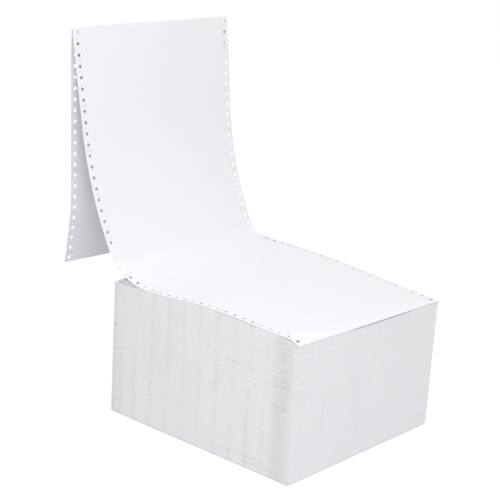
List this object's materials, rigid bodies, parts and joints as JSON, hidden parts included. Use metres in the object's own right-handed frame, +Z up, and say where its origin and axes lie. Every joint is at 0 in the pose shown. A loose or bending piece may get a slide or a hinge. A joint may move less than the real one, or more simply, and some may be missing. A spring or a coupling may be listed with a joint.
{
  "type": "fanfold continuous form paper",
  "caption": "Stack of fanfold continuous paper with sprocket holes along both edges, its last pages drawn up and hanging over at the back.",
  "frame": {"origin": "centre of the stack's bottom face", "axes": "+Z up, +X along the length of a page towards the front fold of the stack, +Y across the web"},
  "size_m": [0.3675, 0.2431, 0.4424],
  "materials": {
    "paper": "matt white uncoated paper"
  },
  "bodies": {
    "root": {"fanfold_paper": "paper"}
  },
  "joints": []
}
